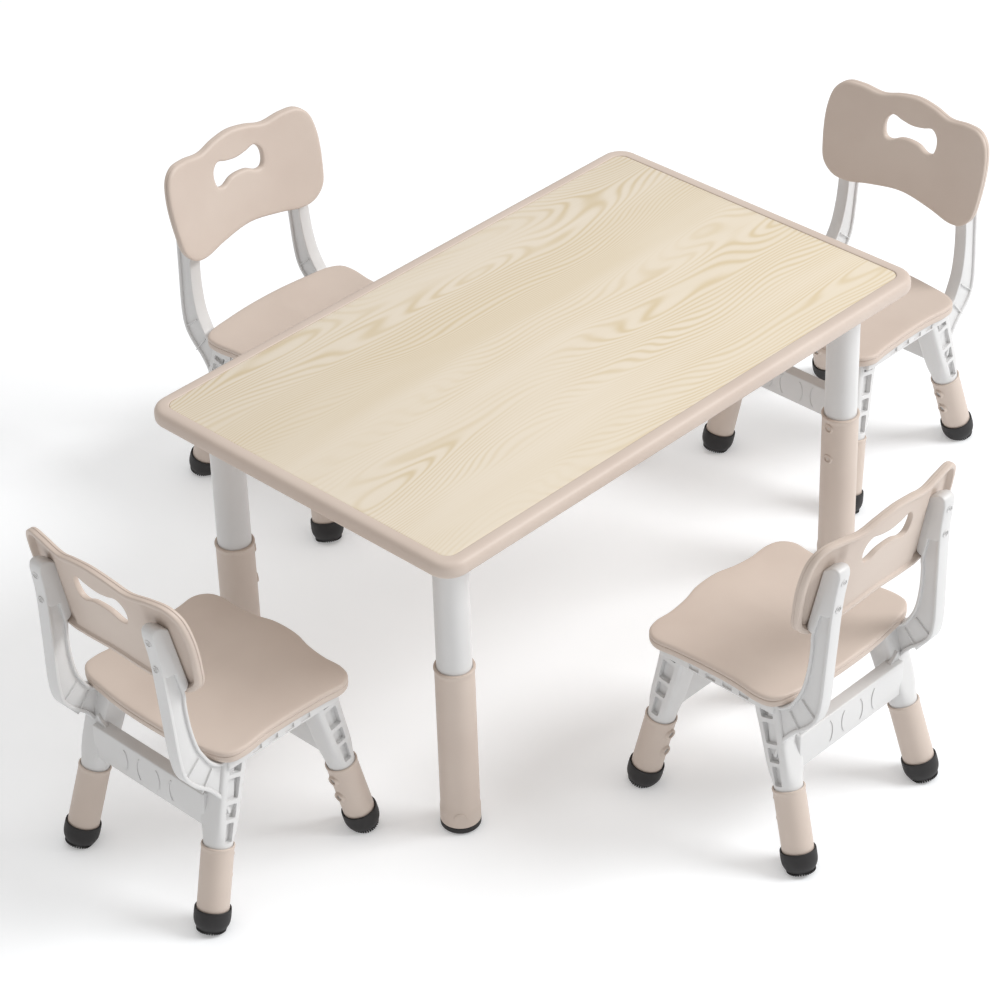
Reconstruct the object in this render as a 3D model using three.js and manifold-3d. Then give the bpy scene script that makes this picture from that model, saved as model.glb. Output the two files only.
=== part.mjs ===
// A child's activity table with four matching chairs.
// The table is a rimmed rectangular top on four round telescopic legs. Each chair is a moulded seat and a
// moulded backrest on one moulded frame, with four splayed telescopic legs that end in rubber boots.
// Units are millimetres, +Z is up and the floor is Z = 0. The table's long side runs along X.

import * as THREE from 'three';
import { mergeVertices } from 'three/addons/utils/BufferGeometryUtils.js';
import Module from 'manifold-3d';

const wasm = await Module();
wasm.setup();

const GAP = 0.3; // clearance left between pieces that touch

// Table
const TOP_LENGTH = 1000;
const TOP_WIDTH = 600;
const TABLE_HEIGHT = 520;
const SHELL_THICKNESS = 26;
const SHELL_CORNER_RADIUS = 35;
const SHELL_EDGE_RADIUS = 8;
const RIM_WIDTH = 21;
const PANEL_THICKNESS = 16;
const PANEL_CORNER_RADIUS = 17;
const PANEL_STEP = 1; // the panel lies this far below the rim
const LEG_INSET_X = 80;
const LEG_INSET_Y = 78;
const LEG_TUBE_RADIUS = 25;
const LEG_TUBE_WALL = 3;
const LEG_TUBE_BOTTOM = 150;
const LEG_SLEEVE_RADIUS = 28.7;
const LEG_SLEEVE_TOP = 281;
const LEG_FOOT_HEIGHT = 11;
const LEG_FOOT_RADIUS = 29.2;
const LEG_FOOT_PLUG = 22;
const SOCKET_RADIUS = 31;
const SOCKET_DEPTH = 16;
const CELL_COLUMNS = 4; // shallow cells under the top, between stiffening ribs
const CELL_ROWS = 2;
const CELL_DEPTH = 6;
const CELL_RIB = 8;
const CELL_FIELD_LENGTH = 700;
const CELL_FIELD_WIDTH = 550;

// Chair, in its own frame: X forwards, Y to the sitter's left, Z up from the floor
const SEAT_TOP = 282;
const SEAT_THICKNESS = 18;
const SEAT_EDGE_RADIUS = 4;
const SEAT_DIP = 4;
const BACK_FRONT_X = -149; // front of the backrest on the centre line, at BACK_REFERENCE_Z
const BACK_REFERENCE_Z = 450;
const BACK_TILT = 0.21; // radians from the vertical
const BACK_CURVE = 20; // the front bows forwards this much at BACK_HALF_WIDTH
const BACK_HALF_WIDTH = 165;
const BACK_THICKNESS = 14;
const FRONT_LEG = { x: 147, y: 137, leanX: -0.205, leanY: -0.11, sleeveTop: 128 };
const REAR_LEG = { x: -149, y: 138, leanX: 0.28, leanY: -0.088, sleeveTop: 131 };
const SLEEVE_RADIUS = 23;
const SLEEVE_WALL = 2.1;
const SLEEVE_BOTTOM = 8.3;
const STUB_BOTTOM = 40;
const STUB_TOP = 165;
const BOOT_RADIUS = 26;
const BOOT_TOP = 35;
const LEG_BOX_BOTTOM = 134;
const LEG_BOX_WIDTH_BOTTOM = 35;
const LEG_BOX_WIDTH_TOP = 45;
const LEG_POCKET_DEPTH = 9;
const UPRIGHT_Y = 113.5; // at UPRIGHT_REFERENCE_Z, and further out below it
const UPRIGHT_REFERENCE_Z = 475;
const UPRIGHT_SPLAY = 0.055; // outwards per unit of height downwards
const UPRIGHT_WIDTH = 18;
const RAIL_THICKNESS = 21;
const REAR_RAIL = { x: -111, bottom: 150, top: 207, halfLength: 116 };
const FRONT_RAIL = { x: 114, bottom: 139, top: 190, halfLength: 112 };
const SIDE_RAIL = { from: -92, to: 108, inner: 123, outer: 142, height: 17 };

// Where each chair stands: the middle of its footprint from the middle of the table, and the way it faces
const CHAIRS = {
  chair_left: { x: -661, y: 14, facing: 0 },
  chair_front: { x: -41, y: -497, facing: Math.PI / 2 },
  chair_back: { x: 76, y: 566, facing: -Math.PI / 2 },
  chair_right: { x: 687, y: -10, facing: Math.PI },
};

const ROUND_SIDES = 16;
const Z_AXIS = new THREE.Vector3(0, 0, 1);
const FRAME_TOP = SEAT_TOP - SEAT_THICKNESS - GAP;

const MATERIALS = {
  laminate: { color: 0xe2d4b9, roughness: 0.45, metalness: 0 },
  beigePlastic: { color: 0xcdb9aa, roughness: 0.5, metalness: 0 },
  whitePlastic: { color: 0xebebe9, roughness: 0.4, metalness: 0 },
  blackRubber: { color: 0x2d2b2b, roughness: 0.75, metalness: 0 },
};

function namedMesh(name, geometry, materialName) {
  const mesh = new THREE.Mesh(geometry, new THREE.MeshStandardMaterial(MATERIALS[materialName]));
  mesh.name = name;
  return mesh;
}

// Solids for joining and cutting

function toSolid(geometry) {
  const bare = geometry.index ? geometry.toNonIndexed() : geometry.clone();
  bare.deleteAttribute('normal');
  bare.deleteAttribute('uv');
  const merged = mergeVertices(bare, 1e-4);
  return new wasm.Manifold(
    new wasm.Mesh({
      numProp: 3,
      vertProperties: new Float32Array(merged.attributes.position.array),
      triVerts: new Uint32Array(merged.index.array),
    }),
  );
}

function toGeometry(solid) {
  const mesh = solid.getMesh();
  const geometry = new THREE.BufferGeometry();
  geometry.setAttribute('position', new THREE.BufferAttribute(mesh.vertProperties, 3));
  geometry.setIndex(new THREE.BufferAttribute(mesh.triVerts, 1));
  geometry.computeVertexNormals();
  return geometry;
}

function unite(geometries) {
  return geometries.map(toSolid).reduce((all, next) => all.add(next));
}

// Basic shapes

// A ring or plug turned about Z from a closed list of [radius, height] points
function turned(profile, sides = ROUND_SIDES) {
  const points = profile.map(([radius, height]) => new THREE.Vector2(radius, height));
  const geometry = new THREE.LatheGeometry(points, sides);
  geometry.rotateX(Math.PI / 2);
  return geometry;
}

function tube(outer, inner, bottom, top) {
  return turned([[inner, bottom], [outer, bottom], [outer, top], [inner, top], [inner, bottom]]);
}

// A slab of a rounded rectangle that lies flat, with its long edges rounded by edge
function roundedSlab(length, width, radius, bottom, top, edge = 0) {
  const x = length / 2 - radius;
  const y = width / 2 - radius;
  const shape = new THREE.Shape();
  shape.absarc(x, y, radius, 0, Math.PI / 2);
  shape.absarc(-x, y, radius, Math.PI / 2, Math.PI);
  shape.absarc(-x, -y, radius, Math.PI, Math.PI * 1.5);
  shape.absarc(x, -y, radius, Math.PI * 1.5, Math.PI * 2);
  const geometry = new THREE.ExtrudeGeometry(shape, {
    depth: top - bottom - 2 * edge,
    bevelEnabled: edge > 0,
    bevelThickness: edge,
    bevelSize: edge,
    bevelOffset: -edge,
    bevelSegments: 3,
    curveSegments: 5,
  });
  geometry.translate(0, 0, bottom + edge);
  return geometry;
}

function box(xSize, ySize, zSize, x, y, z) {
  const geometry = new THREE.BoxGeometry(xSize, ySize, zSize);
  geometry.translate(x, y, z);
  return geometry;
}

// A smooth closed outline through half of its points, mirrored about the first coordinate's zero line
function mirroredOutline(half, count) {
  const inner = half.slice(1, -1).reverse();
  const all = half.concat(inner.map(([across, along]) => [-across, along]));
  const curve = new THREE.CatmullRomCurve3(
    all.map(([across, along]) => new THREE.Vector3(across, along, 0)),
    true,
  );
  return curve.getSpacedPoints(count).slice(0, count).map((p) => new THREE.Vector2(p.x, p.y));
}

// A shape in the Y-Z plane, pushed along X
function prismAlongX(points, from, to) {
  const geometry = new THREE.ExtrudeGeometry(new THREE.Shape(points), {
    depth: to - from,
    bevelEnabled: false,
  });
  const axes = new THREE.Matrix4().makeBasis(
    new THREE.Vector3(0, 1, 0),
    new THREE.Vector3(0, 0, 1),
    new THREE.Vector3(1, 0, 0),
  );
  geometry.applyMatrix4(axes);
  geometry.translate(from, 0, 0);
  return geometry;
}

// A shape in the X-Z plane, pushed both ways along Y
function prismAlongY(points, middle, width) {
  const shape = new THREE.Shape(points.map(([x, z]) => new THREE.Vector2(x, z)));
  const geometry = new THREE.ExtrudeGeometry(shape, { depth: width, bevelEnabled: false });
  geometry.rotateX(Math.PI / 2);
  geometry.translate(0, middle + width / 2, 0);
  return geometry;
}

// Table

function tableShell() {
  const bottom = TABLE_HEIGHT - SHELL_THICKNESS;
  const pocketFloor = TABLE_HEIGHT - PANEL_STEP - PANEL_THICKNESS - GAP;
  const slab = toSolid(
    roundedSlab(TOP_LENGTH, TOP_WIDTH, SHELL_CORNER_RADIUS, bottom, TABLE_HEIGHT, SHELL_EDGE_RADIUS),
  );
  const pocket = toSolid(
    roundedSlab(
      TOP_LENGTH - 2 * RIM_WIDTH,
      TOP_WIDTH - 2 * RIM_WIDTH,
      PANEL_CORNER_RADIUS,
      pocketFloor,
      TABLE_HEIGHT + 1,
    ),
  );
  let shell = slab.subtract(pocket);
  const cellLength = CELL_FIELD_LENGTH / CELL_COLUMNS;
  const cellWidth = CELL_FIELD_WIDTH / CELL_ROWS;
  for (let column = 0; column < CELL_COLUMNS; column += 1) {
    for (let row = 0; row < CELL_ROWS; row += 1) {
      const x = (column + 0.5) * cellLength - CELL_FIELD_LENGTH / 2;
      const y = (row + 0.5) * cellWidth - CELL_FIELD_WIDTH / 2;
      const cell = box(cellLength - CELL_RIB, cellWidth - CELL_RIB, 2 * CELL_DEPTH, x, y, bottom);
      shell = shell.subtract(toSolid(cell));
    }
  }
  for (const corner of legCorners()) {
    const socket = tube(SOCKET_RADIUS, LEG_TUBE_RADIUS + GAP, bottom - SOCKET_DEPTH, bottom + 1);
    socket.translate(corner.x, corner.y, 0);
    shell = shell.add(toSolid(socket));
  }
  return toGeometry(shell);
}

function tablePanel() {
  const top = TABLE_HEIGHT - PANEL_STEP;
  return roundedSlab(
    TOP_LENGTH - 2 * (RIM_WIDTH + GAP),
    TOP_WIDTH - 2 * (RIM_WIDTH + GAP),
    PANEL_CORNER_RADIUS - GAP,
    top - PANEL_THICKNESS,
    top,
  );
}

function legCorners() {
  const x = TOP_LENGTH / 2 - LEG_INSET_X;
  const y = TOP_WIDTH / 2 - LEG_INSET_Y;
  return [
    { name: 'front_left', x: -x, y: -y },
    { name: 'front_right', x, y: -y },
    { name: 'back_left', x: -x, y },
    { name: 'back_right', x, y },
  ];
}

function tableSleeve() {
  return tube(LEG_SLEEVE_RADIUS, LEG_TUBE_RADIUS + GAP, LEG_FOOT_HEIGHT + GAP, LEG_SLEEVE_TOP);
}

function tableFoot() {
  const plug = LEG_TUBE_RADIUS;
  return turned([
    [0, 0],
    [LEG_FOOT_RADIUS - 2, 0],
    [LEG_FOOT_RADIUS, 2],
    [LEG_FOOT_RADIUS, LEG_FOOT_HEIGHT],
    [plug, LEG_FOOT_HEIGHT],
    [plug, LEG_FOOT_HEIGHT + LEG_FOOT_PLUG],
    [0, LEG_FOOT_HEIGHT + LEG_FOOT_PLUG],
  ]);
}

function buildTable() {
  const table = new THREE.Group();
  table.add(namedMesh('table_top_shell', tableShell(), 'beigePlastic'));
  table.add(namedMesh('table_top_panel', tablePanel(), 'laminate'));
  const tubeTop = TABLE_HEIGHT - SHELL_THICKNESS - GAP;
  for (const corner of legCorners()) {
    const upper = tube(LEG_TUBE_RADIUS, LEG_TUBE_RADIUS - LEG_TUBE_WALL, LEG_TUBE_BOTTOM, tubeTop);
    const leg = new THREE.Group();
    leg.position.set(corner.x, corner.y, 0);
    leg.add(namedMesh(`table_leg_tube_${corner.name}`, upper, 'whitePlastic'));
    leg.add(namedMesh(`table_leg_sleeve_${corner.name}`, tableSleeve(), 'beigePlastic'));
    leg.add(namedMesh(`table_leg_foot_${corner.name}`, tableFoot(), 'blackRubber'));
    table.add(leg);
  }
  return table;
}

// Chair

// The foot point on the floor, the unit vector up the leg and its turn from the vertical
function legAxis(leg, side) {
  const foot = new THREE.Vector3(leg.x, side * leg.y, 0);
  const up = new THREE.Vector3(leg.leanX, side * leg.leanY, 1).normalize();
  const turn = new THREE.Quaternion().setFromUnitVectors(Z_AXIS, up);
  return { foot, up, turn, sleeveTop: leg.sleeveTop };
}

function placedOnLeg(geometry, axis) {
  geometry.applyQuaternion(axis.turn);
  geometry.translate(axis.foot.x, axis.foot.y, axis.foot.z);
  return geometry;
}

function chairSleeve(axis) {
  const inner = SLEEVE_RADIUS - SLEEVE_WALL;
  return placedOnLeg(tube(SLEEVE_RADIUS, inner, SLEEVE_BOTTOM, axis.sleeveTop), axis);
}

// A rubber cup with a domed underside that is worn flat where it meets the floor
function chairBoot(axis) {
  const inner = SLEEVE_RADIUS + GAP;
  const cup = turned([
    [0, -2],
    [14, 0],
    [23, 9],
    [BOOT_RADIUS, 18],
    [BOOT_RADIUS, BOOT_TOP],
    [inner, BOOT_TOP],
    [inner, SLEEVE_BOTTOM - GAP],
    [0, SLEEVE_BOTTOM - GAP],
  ]);
  const floor = box(200, 200, 40, axis.foot.x, axis.foot.y, -20);
  return toGeometry(toSolid(placedOnLeg(cup, axis)).subtract(toSolid(floor)));
}

// The seat: a rounded trapezoid with a rounded nose, dished towards its middle
function chairSeat() {
  const half = [
    [0, 148], [45, 142], [92, 137.5], [135, 134], [153, 111], [148, 40], [147, -30],
    [152, -79], [139, -104], [85, -116], [0, -121],
  ];
  const outline = mirroredOutline(half, 36).map((p) => new THREE.Vector2(p.y, p.x));
  const middle = new THREE.Vector2(10, 0);
  const bottom = SEAT_TOP - SEAT_THICKNESS;
  const edge = SEAT_EDGE_RADIUS;
  // each ring: share of the way out to the outline, distance back from the outline, height
  const rings = [
    { share: 1, inset: edge, z: bottom },
    { share: 1, inset: 0, z: bottom + edge },
    { share: 1, inset: 0, z: SEAT_TOP - edge },
    { share: 1, inset: edge, z: SEAT_TOP },
    { share: 0.6, inset: 0, z: SEAT_TOP - 0.8 * SEAT_DIP },
  ];
  const points = [];
  for (const ring of rings) {
    for (const p of outline) {
      const out = p.clone().sub(middle);
      const reach = ring.share * out.length() - ring.inset;
      const q = out.normalize().multiplyScalar(reach).add(middle);
      points.push(q.x, q.y, ring.z);
    }
  }
  const count = outline.length;
  const bottomMiddle = points.length / 3;
  points.push(middle.x, middle.y, bottom, middle.x, middle.y, SEAT_TOP - SEAT_DIP);
  const topMiddle = bottomMiddle + 1;
  const index = [];
  const lastRing = (rings.length - 1) * count;
  const anticlockwise = THREE.ShapeUtils.area(outline) > 0;
  const addTriangle = (a, b, c) => (anticlockwise ? index.push(a, b, c) : index.push(a, c, b));
  for (let i = 0; i < count; i += 1) {
    const next = (i + 1) % count;
    addTriangle(bottomMiddle, next, i);
    addTriangle(topMiddle, lastRing + i, lastRing + next);
    for (let r = 0; r < rings.length - 1; r += 1) {
      const low = r * count;
      const high = low + count;
      addTriangle(low + i, low + next, high + next);
      addTriangle(low + i, high + next, high + i);
    }
  }
  const geometry = new THREE.BufferGeometry();
  geometry.setAttribute('position', new THREE.Float32BufferAttribute(points, 3));
  geometry.setIndex(index);
  geometry.computeVertexNormals();
  return geometry;
}

// Front of the backrest at a height and a distance from the centre line
function backFront(y, z) {
  const lean = Math.tan(BACK_TILT) * (z - BACK_REFERENCE_Z);
  return BACK_FRONT_X - lean + BACK_CURVE * (y / BACK_HALF_WIDTH) ** 2;
}

// The backrest: a bowed, tilted plate with a wavy top edge, an arched bottom edge and a handle slot
function chairBackrest() {
  const low = 380;
  const high = 590;
  const strips = 10;
  const front = [];
  const rear = [];
  for (let i = 0; i <= strips; i += 1) {
    const y = BACK_HALF_WIDTH * ((2 * i) / strips - 1);
    const x = backFront(y, BACK_REFERENCE_Z);
    front.push(new THREE.Vector2(x, y));
    rear.unshift(new THREE.Vector2(x - BACK_THICKNESS, y));
  }
  const plate = new THREE.ExtrudeGeometry(new THREE.Shape(front.concat(rear)), {
    depth: high - low,
    bevelEnabled: false,
  });
  plate.translate(0, 0, low - BACK_REFERENCE_Z);
  const lean = new THREE.Matrix4().makeShear(0, 0, 0, 0, -Math.tan(BACK_TILT), 0);
  plate.applyMatrix4(lean);
  plate.translate(0, 0, BACK_REFERENCE_Z);

  const outerHalf = [
    [0, 562], [37, 557], [69, 550], [106, 554.5], [132, 553], [150, 538], [158, 508], [155, 449],
    [148, 418], [128, 398.5], [104, 394], [59, 401], [0, 408],
  ];
  const slotHalf = [
    [0, 517], [22, 520], [40, 524], [50, 512], [52, 499], [46, 485], [36, 483.5], [18, 491], [0, 493],
  ];
  const outside = toSolid(prismAlongX(mirroredOutline(outerHalf, 44), -260, -60));
  const slot = toSolid(prismAlongX(mirroredOutline(slotHalf, 20), -270, -50));
  return toGeometry(toSolid(plate).intersect(outside).subtract(slot));
}

// One upright with the elbow that carries it forwards to the top of the rear leg
function uprightOutline() {
  const clearOfBack = (z) => backFront(UPRIGHT_Y - UPRIGHT_WIDTH / 2, z) - BACK_THICKNESS - 2 * GAP;
  const joinX = REAR_LEG.x + REAR_LEG.leanX * FRAME_TOP;
  return [
    [-186, 509], [-184, 516], [-179, 519.5], [-172, 518.5], [clearOfBack(508), 508],
    [clearOfBack(396), 396], [-143, 386], [-138, 345], [-128, 306], [-113, 276],
    [-100, FRAME_TOP], [joinX, FRAME_TOP], [-90, 194], [-102, 186], [-111, 208],
    [-129, 230], [-149, 247], [-163, 264], [-170, 286], [-175, 380], [-179, 458],
  ];
}

// The upper part of one leg: a round stub, the square leg above it and four pockets on its outer face
function frameLeg(leg, side) {
  const axis = legAxis(leg, side);
  const stub = new THREE.CylinderGeometry(
    SLEEVE_RADIUS - SLEEVE_WALL - GAP,
    SLEEVE_RADIUS - SLEEVE_WALL - GAP,
    STUB_TOP - STUB_BOTTOM,
    ROUND_SIDES,
  );
  stub.rotateX(Math.PI / 2);
  stub.translate(0, 0, (STUB_TOP + STUB_BOTTOM) / 2);

  const boxTop = FRAME_TOP / axis.up.z + 20;
  const height = boxTop - LEG_BOX_BOTTOM;
  const square = new THREE.CylinderGeometry(
    LEG_BOX_WIDTH_TOP / Math.SQRT2,
    LEG_BOX_WIDTH_BOTTOM / Math.SQRT2,
    height,
    4,
  );
  square.rotateX(Math.PI / 2);
  square.rotateZ(Math.PI / 4);
  square.translate(0, 0, LEG_BOX_BOTTOM + height / 2);

  let solid = toSolid(placedOnLeg(stub, axis)).add(toSolid(placedOnLeg(square, axis)));
  const pockets = [
    { from: 139, to: 167, width: 12 },
    { from: 175, to: 195, width: 17 },
    { from: 204, to: 235, width: 20 },
    { from: 244, to: 256, width: 21 },
  ];
  for (const pocket of pockets) {
    const middle = (pocket.from + pocket.to) / 2;
    const grow = (LEG_BOX_WIDTH_TOP - LEG_BOX_WIDTH_BOTTOM) / height;
    const face = (LEG_BOX_WIDTH_BOTTOM + grow * (middle - LEG_BOX_BOTTOM)) / 2;
    const hole = box(
      pocket.width,
      2 * LEG_POCKET_DEPTH,
      pocket.to - pocket.from,
      0,
      side * face,
      middle,
    );
    solid = solid.subtract(toSolid(placedOnLeg(hole, axis)));
  }
  return solid;
}

// The rail that runs under the seat's edge from the rear leg to the front leg
function sideRail(side) {
  const { from, to, inner, outer, height } = SIDE_RAIL;
  const y = (side * (inner + outer)) / 2;
  return box(to - from, outer - inner, height, (from + to) / 2, y, FRAME_TOP - height / 2);
}

// An upright that leans outwards towards its foot
function upright(side) {
  const geometry = prismAlongY(uprightOutline(), side * UPRIGHT_Y, UPRIGHT_WIDTH);
  geometry.applyMatrix4(new THREE.Matrix4().makeShear(0, 0, 0, 0, 0, -side * UPRIGHT_SPLAY));
  geometry.translate(0, side * UPRIGHT_SPLAY * UPRIGHT_REFERENCE_Z, 0);
  return geometry;
}

function crossRail(rail) {
  const height = rail.top - rail.bottom;
  const middle = (rail.top + rail.bottom) / 2;
  return box(RAIL_THICKNESS, 2 * rail.halfLength, height, rail.x, 0, middle);
}

function chairFrame() {
  let frame = unite([crossRail(REAR_RAIL), crossRail(FRONT_RAIL)]);
  for (const side of [1, -1]) {
    frame = frame.add(frameLeg(REAR_LEG, side));
    frame = frame.add(frameLeg(FRONT_LEG, side));
    frame = frame.add(unite([upright(side), sideRail(side)]));
  }
  const aboveSeat = box(290, 400, 80, 28, 0, FRAME_TOP + 40);
  return toGeometry(frame.subtract(toSolid(aboveSeat)));
}

function buildChair(name, place) {
  const chair = new THREE.Group();
  chair.position.set(place.x, place.y, 0);
  chair.rotation.z = place.facing;
  chair.add(namedMesh(`${name}_seat`, chairSeat(), 'beigePlastic'));
  chair.add(namedMesh(`${name}_backrest`, chairBackrest(), 'beigePlastic'));
  chair.add(namedMesh(`${name}_frame`, chairFrame(), 'whitePlastic'));
  const legs = {
    front_left: legAxis(FRONT_LEG, 1),
    front_right: legAxis(FRONT_LEG, -1),
    rear_left: legAxis(REAR_LEG, 1),
    rear_right: legAxis(REAR_LEG, -1),
  };
  for (const [corner, axis] of Object.entries(legs)) {
    chair.add(namedMesh(`${name}_sleeve_${corner}`, chairSleeve(axis), 'beigePlastic'));
    chair.add(namedMesh(`${name}_boot_${corner}`, chairBoot(axis), 'blackRubber'));
  }
  return chair;
}

// The whole set, moved so that the middle of its footprint is the origin
const set = new THREE.Group();
set.add(buildTable());
for (const [name, place] of Object.entries(CHAIRS)) {
  set.add(buildChair(name, place));
}
const bounds = new THREE.Box3().setFromObject(set, true);
const middle = bounds.getCenter(new THREE.Vector3());
set.position.set(-middle.x, -middle.y, 0);

export default set;
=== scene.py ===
"""A child's activity table with four matching chairs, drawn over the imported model.

Sizes are in millimetres, and MM turns them into the scene's metres. Each chair is built once in its own
frame, X forwards, Y to the sitter's left and Z up from the floor, and its meshes are shared by the four
chairs.
"""
import math

import bmesh
import bpy
from mathutils import Matrix, Vector


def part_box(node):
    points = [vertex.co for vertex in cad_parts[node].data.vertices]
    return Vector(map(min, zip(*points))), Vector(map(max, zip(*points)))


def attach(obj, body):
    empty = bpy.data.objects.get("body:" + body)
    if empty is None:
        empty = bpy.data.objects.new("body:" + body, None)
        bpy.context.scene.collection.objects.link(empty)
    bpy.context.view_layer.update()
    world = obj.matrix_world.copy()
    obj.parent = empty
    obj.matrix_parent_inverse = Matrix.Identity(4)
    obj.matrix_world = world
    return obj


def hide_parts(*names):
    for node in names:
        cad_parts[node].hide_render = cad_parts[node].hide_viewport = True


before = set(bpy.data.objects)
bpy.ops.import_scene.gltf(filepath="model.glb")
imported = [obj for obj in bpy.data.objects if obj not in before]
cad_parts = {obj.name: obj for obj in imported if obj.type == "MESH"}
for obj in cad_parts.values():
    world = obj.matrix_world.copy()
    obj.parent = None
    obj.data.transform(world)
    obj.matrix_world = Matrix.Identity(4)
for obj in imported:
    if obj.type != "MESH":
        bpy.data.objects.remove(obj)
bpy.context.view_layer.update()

MM = 0.001
CHAIRS = ("chair_left", "chair_front", "chair_back", "chair_right")
TABLE_CORNERS = ("front_left", "front_right", "back_left", "back_right")

# Table
RIM_WIDTH = 21.0
RIM_RADIUS = 35.0
PANEL_RADIUS = 17.0
SHELL_THICKNESS = 26.0
TUBE_RADIUS = 25.0
SLEEVE_RADIUS = 28.7
FOOT_RADIUS = 29.2
FOOT_PLUG_TOP = 33  # the part of a foot cap that sits inside the sleeve
SCREW_DROPS = (17, 72)  # below the top of a table sleeve
CRESCENT_HEADINGS = (-135, 45)
CRESCENT_HEIGHT = 28.0
CRESCENT_RADIUS = 9.5
# which way the locking screws of each leg face, in degrees from +X
SCREW_HEADINGS = {"front_left": 45, "front_right": 180, "back_left": -30, "back_right": -135}

# Chair, in millimetres
SEAT_TOP = 282.0
SEAT_THICKNESS = 18.0
FRAME_TOP = SEAT_TOP - SEAT_THICKNESS - 0.3
BACK_FRONT_X = -149.0
BACK_REFERENCE_Z = 450.0
BACK_TILT = 0.21
BACK_CURVE = 20.0
BACK_HALF_WIDTH = 165.0
BACK_THICKNESS = 14.0
BACK_SKIN = 5.5  # what is left of the backrest in its recess, where the uprights reach in
BACK_MIDDLE = 10.0  # how thick the backrest is between the uprights
LEG_HEAD_HALF = 22.4
FRONT_LEG = {"x": 147.0, "y": 137.0, "lean_x": -0.205, "lean_y": -0.11, "sleeve_top": 128.0}
REAR_LEG = {"x": -149.0, "y": 138.0, "lean_x": 0.28, "lean_y": -0.088, "sleeve_top": 131.0}
CHAIR_SLEEVE_RADIUS = 23.0
STUB_RADIUS = 20.5
BOOT_RADIUS = 26.0
BOOT_TREADS = 36
CHAIR_SCREW_DROPS = (21, 53)  # below the top of a chair sleeve
UPRIGHT_Y = 113.5  # at UPRIGHT_REFERENCE_Z, and further out below it
UPRIGHT_REFERENCE_Z = 475.0
UPRIGHT_WIDTH = 22.0
UPRIGHT_SPLAY = 0.055
CROSS_RAIL_HALF_THICKNESS = 10.5

# Camera, in degrees and metres. CAMERA_AIM is measured from the middle of the tabletop's footprint.
CAMERA_AZIMUTH = -45.358
CAMERA_ELEVATION = 34.804
CAMERA_ROLL = -1.847
CAMERA_DISTANCE = 5.021
CAMERA_AIM = (-0.0702, 0.0253, 0.2598)
SENSOR_WIDTH = 36.0
LENS_TO_SENSOR = 3.399


# Small geometry helpers

def smooth_loop(points, count, closed=True):
    """Centripetal Catmull-Rom points, evenly spaced along a curve through the given ones."""
    pts = [Vector(p) for p in points]
    n = len(pts)
    dense = []
    spans = n if closed else n - 1
    for i in range(spans):
        if closed:
            p0, p1, p2, p3 = (pts[(i + k) % n] for k in (-1, 0, 1, 2))
        else:
            p1, p2 = pts[i], pts[i + 1]
            p0 = pts[i - 1] if i > 0 else p1 * 2 - p2
            p3 = pts[i + 2] if i + 2 < n else p2 * 2 - p1
        t1 = (p1 - p0).length ** 0.5
        t2 = t1 + (p2 - p1).length ** 0.5
        t3 = t2 + (p3 - p2).length ** 0.5
        for step in range(24):
            t = t1 + (t2 - t1) * step / 24
            a1 = p0 * ((t1 - t) / t1) + p1 * (t / t1)
            a2 = p1 * ((t2 - t) / (t2 - t1)) + p2 * ((t - t1) / (t2 - t1))
            a3 = p2 * ((t3 - t) / (t3 - t2)) + p3 * ((t - t2) / (t3 - t2))
            b1 = a1 * ((t2 - t) / t2) + a2 * (t / t2)
            b2 = a2 * ((t3 - t) / (t3 - t1)) + a3 * ((t - t1) / (t3 - t1))
            dense.append(b1 * ((t2 - t) / (t2 - t1)) + b2 * ((t - t1) / (t2 - t1)))
    dense.append(dense[0].copy() if closed else pts[-1].copy())
    lengths = [0.0]
    for a, b in zip(dense, dense[1:]):
        lengths.append(lengths[-1] + (b - a).length)
    result = []
    k = 0
    steps = count if closed else count - 1
    for i in range(count):
        target = lengths[-1] * i / steps
        while k < len(lengths) - 2 and lengths[k + 1] < target:
            k += 1
        share = (target - lengths[k]) / max(lengths[k + 1] - lengths[k], 1e-12)
        result.append(dense[k].lerp(dense[k + 1], min(max(share, 0.0), 1.0)))
    return result


def mirrored(half):
    """A closed list of points from the half with a positive first coordinate."""
    return list(half) + [(-a, b) for a, b in reversed(half[1:-1])]


def soften(points, radius, steps=4, closed=True):
    """Round each corner of a list of 2-D points."""
    pts = [Vector(p) for p in points]
    n = len(pts)
    result = []
    for i, corner in enumerate(pts):
        if not closed and i in (0, n - 1):
            result.append(corner)
            continue
        before, after = pts[i - 1] - corner, pts[(i + 1) % n] - corner
        r = min(radius, before.length * 0.45, after.length * 0.45)
        start = corner + before.normalized() * r
        end = corner + after.normalized() * r
        for k in range(steps + 1):
            t = k / steps
            result.append(start * (1 - t) ** 2 + corner * 2 * t * (1 - t) + end * t * t)
    return result


def loft(bm, rings, closed_path=False):
    """Join rings of millimetre points by quads, and cap both ends of an open run."""
    made = [[bm.verts.new(Vector(p) * MM) for p in ring] for ring in rings]
    pairs = list(zip(made, made[1:]))
    if closed_path:
        pairs.append((made[-1], made[0]))
    count = len(made[0])
    for low, high in pairs:
        for i in range(count):
            j = (i + 1) % count
            bm.faces.new((low[i], low[j], high[j], high[i]))
    if not closed_path:
        bm.faces.new(list(reversed(made[0])))
        bm.faces.new(made[-1])


def closed_profile(points, radius):
    """A profile for turned(), with rounded corners, that closes on itself."""
    loop = [tuple(p) for p in soften(points, radius)]
    return loop + [loop[0]]


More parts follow.
